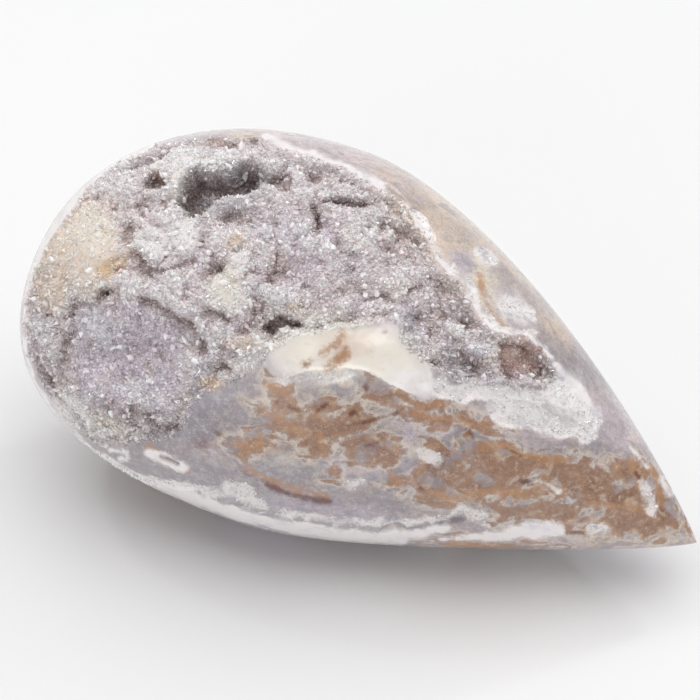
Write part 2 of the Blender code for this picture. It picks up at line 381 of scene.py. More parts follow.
# Places where the druse's lumps are low, in the same terms
CALM = (
    (-18.8, -1.8, 9.6, 6.8, -12.0, 0.6), (-23.2, 10.4, 5.0, 4.6, 35.0, 0.6), (-5.6, 13.4, 5.0, 2.2, 0.0, 0.4),
)

# Soft colour of the stone, with painted shade where marked below: palette name, along, across, half length, half
# width, turn, strength
TINTS = (
    ("polish", 0.0, -12.0, 60.0, 14.0, 0.0, 1.0),
    ("tan", 18.0, 9.0, 16.0, 4.5, -46.0, 0.9),
    ("polish", 30.0, -4.0, 12.0, 4.0, -50.0, 0.8),
    ("lavender", -18.6, -2.0, 9.5, 7.0, -10.0, 0.9),
    ("haze", -22.4, 0.6, 3.2, 3.2, 0.0, 0.7),
    ("haze", -13.0, -3.6, 3.4, 2.0, 0.0, 0.4),
    # The next four are painted shade: along the left bowl's upper left rim, in the small pit in that rim and under
    # the bowl's upper right step
    ("umber", -26.4, -1.8, 1.5, 5.0, 6.0, 0.45),
    ("shadow", -23.6, 4.4, 3.4, 0.9, 24.0, 0.6),
    ("shadow", -21.3, 5.1, 1.2, 0.6, 24.0, 0.95),
    ("umber", -13.0, 1.9, 3.4, 1.1, -34.0, 0.6),
    ("umber", -19.0, -8.4, 3.6, 1.8, -16.0, 0.45),
    ("chalk", -25.4, -7.4, 2.8, 2.0, -35.0, 1.0),
    ("cream", -21.6, -9.4, 3.0, 1.5, -30.0, 0.9),
    ("haze", -19.0, -5.2, 3.0, 1.5, 0.0, 0.5),
    ("tan", -25.2, 7.0, 4.2, 5.0, -20.0, 0.7),
    ("peach", -23.2, 10.4, 6.0, 5.4, 35.0, 1.0),
    ("cream", -22.0, 11.6, 2.4, 2.2, 0.0, 0.6),
    ("amber", -20.4, 7.5, 2.2, 1.1, 24.0, 0.85),
    ("tan", -26.6, 5.8, 2.0, 3.2, -14.0, 0.75),
    ("haze", -28.4, 1.0, 1.0, 2.4, 0.0, 0.6),
    ("umber", -18.5, 11.7, 0.8, 2.4, -12.0, 0.55),
    ("rosy_grey", -17.2, 14.2, 3.0, 1.8, 20.0, 0.8),
    ("chalk", -16.0, 10.6, 2.2, 1.8, 0.0, 0.9),
    ("chalk", -12.3, 11.0, 2.0, 1.6, 0.0, 0.8),
    ("cream", -12.8, 16.2, 0.9, 2.6, -8.0, 0.95),
    ("chalk", -12.2, 19.6, 3.4, 1.6, 12.0, 0.85),
    ("chalk", -20.0, 17.4, 3.4, 1.2, 38.0, 0.7),
    ("umber", -15.4, 17.2, 1.7, 1.3, 0.0, 1.0),
    ("rust", -15.2, 17.6, 1.4, 1.1, 0.0, 0.9),
    # The next five are painted shade in the upper cave, on its floor and in its right lobe
    ("slate", -8.0, 16.2, 5.2, 3.2, 8.0, 0.9),
    ("shadow", -5.6, 17.4, 3.2, 1.8, 6.0, 0.95),
    ("shadow", -10.8, 15.0, 1.0, 2.0, -20.0, 0.5),
    ("slate", -6.5, 13.2, 4.4, 1.8, 0.0, 0.5),
    ("umber", -2.3, 17.2, 1.3, 1.6, 0.0, 0.35),
    ("chalk", -8.4, 19.3, 1.7, 0.7, 12.0, 0.9),
    ("rust", -7.2, 21.2, 3.0, 0.4, 6.0, 0.7),
    ("tan", -6.0, 22.2, 4.0, 0.7, 0.0, 0.7),
    ("lavender", 0.5, 9.4, 6.0, 4.0, -10.0, 0.6),
    ("haze", -2.0, 11.4, 3.0, 1.4, 0.0, 0.5),
    ("amber", -7.0, 10.2, 1.3, 0.8, 30.0, 0.6),
    ("amber", -0.6, 3.4, 1.2, 0.6, 20.0, 0.6),
    ("plum", -9.2, 7.2, 1.5, 1.3, 0.0, 0.7),
    ("plum", -2.2, 7.0, 2.4, 1.2, 10.0, 0.5),
    ("cream", -8.0, 5.4, 2.4, 3.0, 0.0, 0.9),
    ("chalk", -6.6, 8.2, 1.3, 1.3, 0.0, 0.85),
    ("haze", -3.2, 4.8, 3.2, 0.9, -6.0, 0.8),
    # Painted shade in the cave under the plate
    ("umber", -2.0, 2.0, 2.6, 0.9, 0.0, 0.7),
    ("amber", -6.2, -0.6, 2.4, 1.3, 0.0, 0.6),
    ("chalk", -7.0, -3.2, 2.6, 1.0, 10.0, 0.85),
    ("amber", -9.6, -4.8, 1.5, 0.8, 0.0, 0.6),
    ("chalk", 6.6, 11.4, 1.5, 3.2, -24.0, 0.65),
    # The next two are painted shade in the crest's notch and under its arch
    ("umber", 1.2, 13.2, 0.8, 1.6, 8.0, 0.7),
    ("slate", 4.6, 14.4, 3.6, 1.0, -4.0, 0.6),
    ("slate", 5.8, 7.0, 1.8, 1.8, 0.0, 0.4),
    # The next two are painted shade on the steep wall under the valley's crest
    ("umber", 11.8, 10.4, 2.2, 0.9, -52.0, 0.6),
    ("umber", 16.6, 3.2, 3.8, 0.9, -52.0, 0.9),
    ("lavender", 13.0, 0.8, 4.0, 2.8, -40.0, 0.6),
    ("slate", 11.4, 1.2, 1.4, 2.0, 0.0, 0.6),
    ("slate", 17.2, -3.4, 4.0, 1.7, -16.0, 0.75),
    ("chalk", 16.2, 0.9, 1.2, 0.9, 0.0, 0.85),
    ("haze", 18.8, -1.3, 1.5, 0.8, -10.0, 0.8),
    ("cocoa", 22.8, -2.4, 3.2, 2.4, -26.0, 0.95),
    ("rust", 25.0, -3.8, 1.3, 0.9, -35.0, 0.6),
    ("slate", -9.4, -8.6, 3.8, 3.2, 0.0, 0.7),
    ("cream", 4.4, -1.8, 10.0, 4.4, -12.0, 1.0),
    ("tan", 4.6, -1.2, 3.4, 1.7, 0.0, 0.8),
    ("ochre", 3.8, -2.2, 0.8, 1.4, -20.0, 0.7),
    ("ochre", 6.8, -4.9, 0.6, 0.9, 0.0, 0.6),
    ("chalk", 11.3, -4.7, 3.0, 1.8, 0.0, 0.9),
    ("plum", -10.2, -11.4, 2.4, 0.8, -16.0, 0.8),
    ("slate", -6.8, -7.0, 3.8, 1.9, 6.0, 0.8),
    # Painted shade on the lower left of the polished face
    ("shadow", -10.4, -9.6, 3.0, 2.4, 0.0, 0.35),
    ("oxblood", -10.3, -11.5, 1.9, 0.5, -14.0, 0.4),
    ("sienna", 1.5, -9.2, 10.0, 4.4, -8.0, 0.8),
    ("sienna", 22.0, -14.2, 15.0, 4.2, -8.0, 0.5),
    ("cream", -1.6, -13.2, 2.4, 1.2, -14.0, 0.4),
    ("lavender", 3.4, -13.6, 2.0, 1.6, 0.0, 0.7),
    ("lavender", 7.0, -13.9, 2.4, 1.0, 0.0, 0.5),
    ("lavender", 11.2, -12.4, 1.2, 4.6, 4.0, 0.7),
    ("lavender", 13.0, -9.4, 4.4, 0.9, -4.0, 0.8),
    ("haze", 14.2, -12.4, 1.4, 0.9, 0.0, 0.6),
    ("slate", 18.2, -13.6, 0.7, 1.4, 0.0, 0.5),
    ("rosy_grey", 20.4, -8.6, 3.4, 1.8, 0.0, 0.7),
    ("lavender", 23.6, -11.0, 4.6, 1.0, -8.0, 0.7),
    ("chalk", 27.6, -6.8, 3.0, 3.2, -35.0, 0.9),
    ("chalk", 17.8, -5.6, 3.6, 0.8, -8.0, 0.8),
    ("rosy_grey", 33.6, -9.4, 5.2, 2.6, -48.0, 0.9),
    ("slate", 32.2, -15.4, 1.4, 0.9, 0.0, 0.6),
    ("slate", 28.2, -17.2, 1.1, 1.2, 0.0, 0.7),
    ("slate", 36.6, -17.2, 0.9, 1.4, -20.0, 0.6),
    ("tan", 35.0, -21.4, 8.0, 1.6, 0.0, 0.8),
    ("lavender", 3.0, -18.4, 9.0, 1.2, -8.0, 0.5),
    ("slate", 22.4, -19.7, 4.6, 0.4, 0.0, 0.5),
    ("amber", 2.0, -11.4, 0.7, 0.7, 0.0, 0.6),
    ("tan", 15.6, 11.0, 3.6, 1.2, -42.0, 0.7),
    ("sienna", 11.4, 14.4, 1.6, 0.6, -30.0, 0.4),
    ("sienna", 20.6, 6.2, 1.9, 1.2, -40.0, 0.55),
    ("amber", 18.8, 5.2, 0.8, 1.8, 10.0, 0.5),
    ("cream", 19.4, 5.2, 5.0, 2.0, -48.0, 0.6),
    ("chalk", 19.4, 8.2, 1.6, 1.0, -40.0, 0.8),
    ("chalk", 22.8, 2.8, 2.6, 1.4, -45.0, 0.8),
    ("amber", 18.6, 5.6, 0.7, 0.9, 0.0, 0.8),
    ("sienna", 28.2, -0.4, 3.4, 0.6, -54.0, 0.5),
    # The next three are painted shade in the upper cave's mouth
    ("shadow", -12.1, 15.2, 1.2, 2.6, -12.0, 0.8),
    ("shadow", -9.8, 16.8, 2.4, 1.3, 20.0, 0.6),
    ("umber", -11.0, 13.2, 1.2, 0.9, -40.0, 0.7),
    ("lavender", 16.6, 7.6, 1.6, 1.2, -50.0, 0.7),
    ("lavender", 21.2, 4.8, 1.4, 0.9, -50.0, 0.5),
    ("tan", 27.0, 0.8, 3.6, 1.0, -52.0, 0.8),
)


# Numbers that look natural

def cell_number(cells, seed):
    """A fixed number from 0 to 1 for each whole-numbered cell: its indices times large primes, stirred."""
    x, y, z = (cells[..., axis].astype(np.int64) for axis in range(3))
    stirred = (x * 73856093) ^ (y * 19349663) ^ (z * 83492791) ^ (seed * 26544357)
    stirred = ((stirred ^ (stirred >> 13)) * 1274126177) & 0xFFFFFFFF
    return ((stirred ^ (stirred >> 16)) & 0xFFFF) / 65535.0


def soft_noise(points, size, seed):
    """Noise from -1 to 1: the numbers at a cell's eight corners, blended smoothly between them."""
    scaled = points / size
    cells = np.floor(scaled)
    part = scaled - cells
    part = part * part * (3.0 - 2.0 * part)
    total = np.zeros(points.shape[:-1])
    for corner in np.ndindex(2, 2, 2):
        corner = np.array(corner)
        weight = np.where(corner == 1, part, 1.0 - part).prod(axis=-1)
        total += weight * cell_number(cells + corner, seed)
    return 2.0 * total - 1.0


def layered_noise(points, size, seed, layers=3):
    """Sum of soft noises, each half the size and half the height of the one before."""
    return sum(0.5**n * soft_noise(points, size * 0.5**n, seed + n) for n in range(layers))


def nearest_seed(points, size, seed):
    """Distance, in cells, to the nearest of the random seeds that stand one to a cell."""
    scaled = points / size
    cells = np.floor(scaled)
    nearest = np.full(points.shape[:-1], 9.0)
    for step in np.ndindex(3, 3, 3):
        cell = cells + np.array(step) - 1.0
        place = np.stack([cell[..., axis] + cell_number(cell, seed + axis) for axis in range(3)], axis=-1)
        nearest = np.minimum(nearest, np.linalg.norm(place - scaled, axis=-1))
    return nearest


def domes(points, size, seed):
    """Depth of rounded lumps that stand one to a cell, 0 on top and 1 in the creases between them: one
    less the height of a ball of radius 0.85 cells around the nearest seed."""
    share = np.minimum(nearest_seed(points, size, seed) / 0.85, 1.0)
    return 1.0 - np.sqrt(1.0 - share**2)


def blurred(field, reach):
    """The grid's values, each averaged with the neighbours up to this many steps away, around and along."""
    around = sum(np.roll(field, step, axis=1) for step in range(-reach, reach + 1))
    rows = np.arange(len(field))
    both = sum(around[np.clip(rows + step, 0, rows[-1])] for step in range(-reach, reach + 1))
    return both / (2 * reach + 1) ** 2


def ease(value, low, high):
    """0 below low, 1 above high, and a smooth S between them. low may be the larger."""
    part = np.clip((value - low) / (high - low), 0.0, 1.0)
    return part * part * (3.0 - 2.0 * part)


# Shapes drawn on the worn face

def to_segment(along, across, start, end):
    """Distance from each place to the straight line between start and end."""
    run, rise = end[0] - start[0], end[1] - start[1]
    share = ((along - start[0]) * run + (across - start[1]) * rise) / (run * run + rise * rise)
    share = np.clip(share, 0.0, 1.0)
    return np.hypot(along - start[0] - share * run, across - start[1] - share * rise)


def to_strokes(along, across, strokes):
    """Distance to the nearest stroke's edge, in millimetres, and below zero inside a stroke."""
    gap = np.full(along.shape, FAR)
    for places, half_width in strokes:
        for start, end in zip(places[:-1], places[1:]):
            gap = np.minimum(gap, to_segment(along, across, start, end) - half_width)
    return gap


def to_outline(along, across, outline):
    """Distance to a closed outline, below zero inside it. A place is inside if a ray crosses it an odd
    number of times."""
    gap = np.full(along.shape, FAR)
    inside = np.zeros(along.shape, bool)
    for start, end in zip(outline, outline[1:] + outline[:1]):
        gap = np.minimum(gap, to_segment(along, across, start, end))
        spans = (start[1] > across) != (end[1] > across)
        rise = end[1] - start[1] if end[1] != start[1] else 1.0
        crossing = start[0] + (across - start[1]) * (end[0] - start[0]) / rise
        inside ^= spans & (along < crossing)
    return np.where(inside, -gap, gap)


def to_path(along, across, places):
    """Distance to a path, the side of it (1 to the right of the way it runs, -1 to the left) and the share
    of the way along it, all at the nearest of its lines."""
    gap = np.full(along.shape, FAR)
    side = np.zeros(along.shape)
    share = np.zeros(along.shape)
    count = len(places) - 1
    for n, (start, end) in enumerate(zip(places[:-1], places[1:])):
        run, rise = end[0] - start[0], end[1] - start[1]
        part = ((along - start[0]) * run + (across - start[1]) * rise) / (run * run + rise * rise)
        part = np.clip(part, 0.0, 1.0)
        here = np.hypot(along - start[0] - part * run, across - start[1] - part * rise)
        nearer = here < gap
        turned = np.sign((along - start[0]) * rise - (across - start[1]) * run)
        side = np.where(nearer, turned, side)
        share = np.where(nearer, (n + part) / count, share)
        gap = np.where(nearer, here, gap)
    return gap, side, share


def to_ellipse(along, across, place, half_sizes, turn):
    """Distance from the middle of a turned ellipse, as a share of its size: 1 on its edge."""
    c, s = math.cos(math.radians(turn)), math.sin(math.radians(turn))
    a, b = along - place[0], across - place[1]
    return np.hypot((a * c + b * s) / half_sizes[0], (b * c - a * s) / half_sizes[1])


# The stone's surface

def section_radius(along):
    """Half width of the stone this far from the blunt end: a round cap, then a swelling taper."""
    before = np.clip((WIDEST_AT - along) / WIDEST_AT, 0.0, 1.0)
    past = np.clip((along - WIDEST_AT) / (LENGTH - WIDEST_AT), 0.0, 1.0)
    cap = (1.0 - before**BLUNT_POWER) ** (1.0 / BLUNT_POWER)
    narrowing = past**2 * ((1.0 + TAPER_EASE) / (past + TAPER_EASE)) ** TAPER_PULL
    taper = np.clip(1.0 - narrowing, 0.0, 1.0) ** TIP_POWER
    return HALF_WIDTH * cap * taper


def even_steps():
    """Places along the stone with equal steps of its outline between them, from end to end."""
    fine = LENGTH * (0.5 - 0.5 * np.cos(np.linspace(0.0, math.pi, 4000)))
    walked = np.hypot(np.diff(fine), np.diff(section_radius(fine))).cumsum()
    walked = np.concatenate([[0.0], walked])
    return np.interp(np.linspace(0.0, walked[-1], ROWS + 1), walked, fine)


def teardrop(along, around):
    """Point of the ground teardrop: a section of two half ellipses, flatter on the worn side, whose
    centre line curls forwards and down away from the widest section, all pitched down at the tip."""
    radius = section_radius(along)
    flatness = np.where(np.cos(around) > 0.0, FACE_FLATNESS, BACK_FLATNESS)
    out_of_face = radius * flatness * np.cos(around)
    sideways = radius * np.sin(around)
    curl = ((along - WIDEST_AT) / LENGTH) ** 2
    x = along - WIDEST_AT
    y = -out_of_face * math.sin(FACE_LEAN) + sideways * math.cos(FACE_LEAN) - CURL_FORWARD * curl
    z = out_of_face * math.cos(FACE_LEAN) + sideways * math.sin(FACE_LEAN) - CURL_DOWN * curl
    c, s = math.cos(TIP_PITCH), math.sin(TIP_PITCH)
    return np.stack([x * c + z * s, y, z * c - x * s], axis=-1)


def grid_normals(grid):
    """Unit vectors out of a grid that closes around its second direction."""
    lengthwise = np.gradient(grid, axis=0)
    crosswise = np.roll(grid, -1, axis=1) - np.roll(grid, 1, axis=1)
    normals = np.cross(lengthwise, crosswise)
    size = np.linalg.norm(normals, axis=-1, keepdims=True)
    normals = normals / np.maximum(size, 1e-9)
    outward = np.sign((normals * (grid - grid.mean(axis=1, keepdims=True))).sum())
    return normals * outward


class Stone:
    """The stone's grid of points with everything that is known at each: where it lies on the worn face,
    its distances to the drawn shapes, how deep it is pushed in, and its colour."""

    def __init__(self):
        phase = np.linspace(-math.pi, math.pi, COLUMNS, endpoint=False)
        around = phase - FACE_CROWDING * np.sin(phase)
        along, around = np.meshgrid(even_steps(), around, indexing="ij")
        self.ground = teardrop(along, around)
        self.normals = grid_normals(self.ground)
        self.normals[0] = self.ground[0] - self.ground[END_ROWS].mean(axis=0)
        self.normals[-1] = self.ground[-1] - self.ground[-END_ROWS].mean(axis=0)
        self.normals /= np.linalg.norm(self.normals, axis=-1, keepdims=True)
        self.facing = ease(self.normals @ OUT, -0.20, -0.03)
        self.measure()
        self.push_in()
        self.colour()

    def measure(self):
        """Finds each point's place on the face, wandering a little, and its distances to what is drawn."""
        wander = [
            0.55 * soft_noise(self.ground, 3.2, SEED + seed)
            + 0.28 * soft_noise(self.ground, 1.1, SEED + 5 + seed)
            for seed in (1, 2)
        ]
        self.along = self.ground @ RIGHT
        self.across = self.ground @ UP
        ragged_along, ragged_across = self.along + 0.5 * wander[0], self.across + 0.5 * wander[1]
        loose_along, loose_across = self.along + 1.1 * wander[0], self.across + 1.1 * wander[1]
        away = OFF_FACE * (1.0 - self.facing)
        self.druse_gap = to_outline(ragged_along, ragged_across, DRUSE_OUTLINE) + away
        self.plate_gap = to_outline(ragged_along, ragged_across, PLATE_OUTLINE) + away
        self.frost_gap = to_strokes(loose_along, loose_across, FROST) + away
        self.loose = (loose_along, loose_across)
        stains = np.full(self.along.shape, FAR)
        for shape in STAINS:
            stains = np.minimum(stains, (self.share(*shape) - 1.0) * min(shape[2:4]))
        self.streaks = self.ground * (0.4, 1.0, 1.0)
        hidden_stains = 2.5 - 4.5 * layered_noise(self.streaks, 6.0, SEED + 20, 4)
        self.stain_gap = stains * self.facing + hidden_stains * (1.0 - self.facing)
        veins = to_strokes(ragged_along, ragged_across, VEINS)
        self.vein_gap = veins * self.facing + (hidden_stains + 1.4) * (1.0 - self.facing)
        self.speck_gap = to_strokes(ragged_along, ragged_across, SPECKS) + away
        shell = to_strokes(ragged_along, ragged_across, SHELL)
        bands = 7.0 * np.abs(layered_noise(self.streaks, 11.0, SEED + 30, 3))
        hidden_shell = bands - 1.6 * soft_noise(self.streaks, 5.0, SEED + 35)
        self.shell_gap = shell * self.facing + hidden_shell * (1.0 - self.facing)

    def share(self, u, v, half_length, half_width, turn):
        """Distance from the middle of an ellipse drawn on the face, as a share of its size."""
        return to_ellipse(*self.loose, (u, v), (half_length, half_width), turn)

    def hollowed(self):
        """Depth of the druse's hollows and caves, whichever is deepest, with its steps added and its
        swells taken off. A step falls away from its path as one over e to the gap over its reach."""
        depth = np.zeros(self.along.shape)
        for *shape, deep, wall in HOLLOWS.values():
            depth = np.maximum(depth, deep * ease(self.share(*shape), 1.0, 1.0 - wall))
        for outline, deep, wall in CAVES.values():
            gap = to_outline(*self.loose, outline)
            depth = np.maximum(depth, deep * ease(gap, 0.1, -wall))
        for places, drop, reach in SCARPS.values():
            gap, side, share = to_path(*self.loose, places)
            fall = np.where(side > 0.0, ease(gap, 0.0, 0.7) * np.exp(-gap / reach), 0.0)
            depth += drop * fall * ease(share, 0.0, 0.12) * ease(share, 1.0, 0.88)
        for *shape, height in SWELLS.values():
            depth -= height * np.clip(1.0 - self.share(*shape) ** 2, 0.0, 1.0) ** 0.75
        return depth

    def push_in(self):
        """Pushes the points in: the druse's bed, the small pits of the polish, and the frosted zones and
        the plate, which lie a little under the polish."""
        inside = ease(self.druse_gap, 0.10, -0.35)
        calm = self.lessened(CALM)
        lumps = 0.40 * layered_noise(self.ground, 5.0, SEED + 40, 2)
        lobes = 1.3 * calm * (domes(self.ground, 3.6, SEED + 45) - 0.25)
        knobs = 0.7 * calm * (domes(self.ground, 1.5, SEED + 50) - 0.25)
        grit = 0.16 * soft_noise(self.ground, 0.6, SEED + 60)
        bed = np.maximum(BED_DEPTH + self.hollowed() + lumps + lobes + knobs + grit, LEAST_DEPTH)
        self.depth = inside * bed
        for *shape, deep, edge in PITS.values():
            pit = deep * np.clip(1.0 - self.share(*shape) ** 2, 0.0, 1.0) ** edge
            self.depth = np.maximum(self.depth, pit * self.facing)
        frost = ease(self.frost_gap, 0.2, -0.5)
        self.depth += frost * (1.0 - inside) * (0.28 + 0.2 * knobs + 0.6 * grit)
        plate = ease(self.plate_gap, 0.0, -0.5) * (1.0 - inside)
        self.depth += plate * (0.16 + 0.20 * layered_noise(self.ground, 2.2, SEED + 65, 3))
        inwards = self.normals + OUT
        inwards /= np.linalg.norm(inwards, axis=-1, keepdims=True)
        inwards = self.normals + (inwards - self.normals) * self.facing[..., None]
        self.points = self.ground - inwards * self.depth[..., None]
        self.points[0] = self.points[0].mean(axis=0)
        self.points[-1] = self.points[-1].mean(axis=0)
        self.frosted = frost * self.facing
        self.inside = inside
        self.crowding = ease(self.druse_gap, 0.35, 0.0) * self.lessened(SMOOTH)

    def lessened(self, zones):
        """1 away from the zones, and less by each zone's strength inside it."""
        left = np.ones(self.along.shape)
        for *shape, strength in zones:
            left = left * (1.0 - strength * ease(self.share(*shape), 1.1, 0.6))
        return left

    def colour(self):
        """Mixes the palette: rosy grey, each soft tint over the last, some of them painted shade in the
        druse's caves and crevices, then drifts of lavender and cream on the hidden side."""
        colour = np.ones(self.along.shape + (3,)) * linear("rosy_grey")
        for name, *shape, strength in TINTS:
            colour = towards(colour, name, (strength * ease(self.share(*shape), 1.25, 0.45))[..., None])
        colour = self.mottled(colour)
        hidden = np.ones(colour.shape) * linear("polish")
        drift = layered_noise(self.streaks, 7.0, SEED + 70, 4)[..., None]
        hidden = towards(hidden, "lavender", ease(drift, 0.0, 0.6))
        hidden = towards(hidden, "cream", ease(drift, -0.1, -0.8))
        shown = ease(self.normals @ OUT, -0.35, 0.05)[..., None]
        self.tint = hidden + (colour - hidden) * shown

    def proud(self, reach):
        """How far the druse stands above its surroundings, up to this many steps of the grid away."""
        nearby = np.maximum(blurred(self.inside, reach), 0.02)
        return blurred(self.depth * self.inside, reach) / nearby - self.depth

    def mottled(self, colour):
        """The druse's colour, clouded by noise of six sizes, with painted shade darkening its creases, and paler on
        its ridges, partly for their white frosted rims and partly as painted light. Creases and ridges are where
        the ground lies below or above its surroundings."""
        clouds = (
            ("lavender", 3.0, 0.1, 0.8, 0.35), ("peach", 2.4, 0.1, 0.8, 0.3), ("plum", 2.2, 0.15, 0.8, 0.35),
            ("haze", 1.7, 0.1, 0.7, 0.3), ("chalk", 0.9, 0.15, 0.8, 0.3), ("umber", 1.1, 0.3, 0.9, 0.3),
        )
        rough = self.inside * self.lessened(SMOOTH)
        for n, (name, size, low, high, strength) in enumerate(clouds):
            cloud = layered_noise(self.ground, size, SEED + 80 + 3 * n)
            colour = towards(colour, name, (rough * strength * ease(cloud, low, high))[..., None])
        close, wide = self.proud(5), self.proud(12)
        # Painted shade: umber in the creases. The ridges go towards chalk partly for their white frosted rims and
        # partly as painted light.
        painted_crease_shade = rough * (0.50 * ease(close, -0.05, -0.4) + 0.2 * ease(wide, -0.1, -0.7))
        ridge = self.inside * (0.20 * ease(close, 0.05, 0.35) + 0.20 * ease(wide, 0.1, 0.7))
        return towards(towards(colour, "umber", painted_crease_shade[..., None]), "chalk", ridge[..., None])


def linear(name):
    """A palette colour as the light it gives back."""
    return np.array(PALETTE[name]) ** GAMMA


def towards(colour, name, share):
    """The colour, gone this share of the way to a palette colour."""
    return colour + (linear(name) - colour) * share


# Meshes

def add_mesh(name, points, faces, material, smooth):
    """A mesh piece in metres. faces is a list of index arrays, one array for each number of corners."""
    corners = np.concatenate([part.ravel() for part in faces]).astype(np.int32)
    counts = np.concatenate([np.full(len(part), part.shape[1]) for part in faces])
    starts = np.concatenate([[0], counts.cumsum()[:-1]]).astype(np.int32)
    mesh = bpy.data.meshes.new(name)
    mesh.vertices.add(len(points))
    mesh.vertices.foreach_set("co", (points * MM).astype(np.float32).ravel())
    mesh.loops.add(len(corners))
    mesh.loops.foreach_set("vertex_index", corners)
    mesh.polygons.add(len(starts))
    mesh.polygons.foreach_set("loop_start", starts)
    mesh.polygons.foreach_set("use_smooth", np.full(len(starts), smooth))
    mesh.update(calc_edges=True)
    mesh.validate()
    mesh.materials.append(material)
    piece = bpy.data.objects.new(name, mesh)
    bpy.context.scene.collection.objects.link(piece)
    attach(piece, "root")
    return piece


def add_attribute(piece, name, values):
    """Stores one number, or one colour, at each point of the piece."""
    if values.ndim == 1:
        attribute = piece.data.attributes.new(name, "FLOAT", "POINT")
        attribute.data.foreach_set("value", values.astype(np.float32))
        return
    attribute = piece.data.attributes.new(name, "FLOAT_COLOR", "POINT")
    full = np.concatenate([values, np.ones((len(values), 1))], axis=1)
    attribute.data.foreach_set("color", full.astype(np.float32).ravel())


def without_extra_poles(grid):
    """The grid's values in the order of its points: one for the blunt pole, the rows, one for the tip."""
    width = grid.shape[2:]
    return np.concatenate([grid[0, :1], grid[1:-1].reshape((-1,) + width), grid[-1, :1]])


def closed_grid_faces():
    """Four-cornered faces between neighbouring rows and columns, and a fan of triangles at each pole."""
    rows = np.arange(1 + (ROWS - 1) * COLUMNS)[1:].reshape(ROWS - 1, COLUMNS)
    beside = np.roll(rows, -1, axis=1)
    quads = np.stack([rows[:-1], rows[1:], beside[1:], beside[:-1]], axis=-1).reshape(-1, 4)
    last = 1 + (ROWS - 1) * COLUMNS
    blunt = np.stack([np.zeros(COLUMNS, int), rows[0], beside[0]], axis=-1)
    tip = np.stack([np.full(COLUMNS, last), beside[-1], rows[-1]], axis=-1)
    return [quads, np.concatenate([blunt, tip])]


def outward(points, faces):
    """The faces, turned round if they enclose a negative volume."""
    quads, triangles = faces
    halves = np.concatenate([quads[:, [0, 1, 2]], quads[:, [0, 2, 3]], triangles])
    corners = points[halves]
    volume = np.einsum("ij,ij->i", corners[:, 0], np.cross(corners[:, 1], corners[:, 2])).sum()
    return faces if volume > 0.0 else [part[:, ::-1] for part in faces]


# Quartz points

def crystal_shape(prism):
    """A six-sided quartz point one unit across its corners: a base, a prism if asked, and a pyramid."""
    angles = np.arange(6) * math.pi / 3.0
    ring = np.stack([np.cos(angles), np.sin(angles), np.zeros(6)], axis=-1)
    base = np.arange(6)[::-1].reshape(1, 6)
    after = np.roll(np.arange(6), -1)
    if not prism:
        points = np.concatenate([ring, [[0.0, 0.0, 1.0]]])
        sides = np.stack([np.arange(6), after, np.full(6, 6)], axis=-1)
        return points, [sides, base]
    points = np.concatenate([ring, ring + [0.0, 0.0, 0.55], [[0.0, 0.0, 1.0]]])
    walls = np.stack([np.arange(6), after, after + 6, np.arange(6) + 6], axis=-1)
    sides = np.stack([np.arange(6) + 6, after + 6, np.full(6, 12)], axis=-1)
    return points, [walls, sides, base]


def scatter(stone, weight, count, rng):
    """Random places on the stone, as dense as the weight says: point, direction out and colour."""
    points, normals = stone.points, grid_normals(stone.points)
    corner = np.roll(points, -1, axis=1) - points
    upward = np.roll(points, -1, axis=0) - points
    area = np.linalg.norm(np.cross(corner, upward), axis=-1)
    chance = (area * weight)[1:-2]
    chance /= chance.sum()
    chosen = rng.choice(chance.size, count, p=chance.ravel())
    row, column = np.unravel_index(chosen, chance.shape)
    row += 1
    across, up = rng.random((2, count, 1))
    beside = (column + 1) % points.shape[1]

    def between(values):
        low = values[row, column] * (1.0 - across) + values[row, beside] * across
        high = values[row + 1, column] * (1.0 - across) + values[row + 1, beside] * across
        return low * (1.0 - up) + high * up

    return between(points), between(normals), between(stone.tint)


def grow_crystals(name, stone, weight, count, sizes, spread, prism, pale, material, rng):
    """Makes one piece of many quartz points: each stands on the stone, leans at random, and is a little
    paler or darker than the stone under it. pale is how far they all go towards chalk."""
    places, normals, tints = scatter(stone, weight, count, rng)
    axis = normals + spread * rng.normal(size=(count, 3))
    axis /= np.linalg.norm(axis, axis=1, keepdims=True)
    side = np.cross(axis, rng.normal(size=(count, 3)))
    side /= np.linalg.norm(side, axis=1, keepdims=True)
    other = np.cross(axis, side)
    radius = np.clip(sizes[0] * np.exp(sizes[1] * rng.normal(size=count)), 0.5 * sizes[0], sizes[2])
    height = radius * (rng.uniform(2.4, 4.0, count) if prism else rng.uniform(1.1, 2.2, count))
    shape, faces = crystal_shape(prism)
    turn = np.stack([side * radius[:, None], other * radius[:, None], axis * height[:, None]], axis=1)
    roots = places - axis * (SUNK * height)[:, None]
    points = (shape[None] @ turn + roots[:, None]).reshape(-1, 3)
    steps = np.arange(count)[:, None, None] * len(shape)
    faces = [(part[None] + steps).reshape(-1, part.shape[1]) for part in faces]
    piece = add_mesh(name, points, faces, material, False)
    shade = np.exp(SHADE_SPREAD * rng.normal(size=(count, 1)))
    frosting = (rng.random((count, 1)) < FROSTED_SHARE) * rng.uniform(0.2, 0.8, (count, 1))
    colours = np.clip(towards(tints, "chalk", pale) * shade, 0.0, BRIGHTEST)
    colours = towards(colours, "chalk", frosting)
    add_attribute(piece, "tint", np.repeat(colours, len(shape), axis=0))


# Materials

class Wire:
    """An output socket of a shader node. Sums, products and the like of wires add Math nodes."""

    def __init__(self, recipe, socket):
        self.recipe = recipe
        self.socket = socket

    def math(self, operation, first, second):
        """A Math node on two wires or numbers."""
        return self.recipe.node("ShaderNodeMath", {"operation": operation}, {0: first, 1: second})

    def __add__(self, other):
        return self.math("ADD", self, other)

    __radd__ = __add__

    def __sub__(self, other):
        return self.math("SUBTRACT", self, other)

    def __rsub__(self, other):
        return self.math("SUBTRACT", other, self)

    def __mul__(self, other):
        return self.math("MULTIPLY", self, other)

    __rmul__ = __mul__


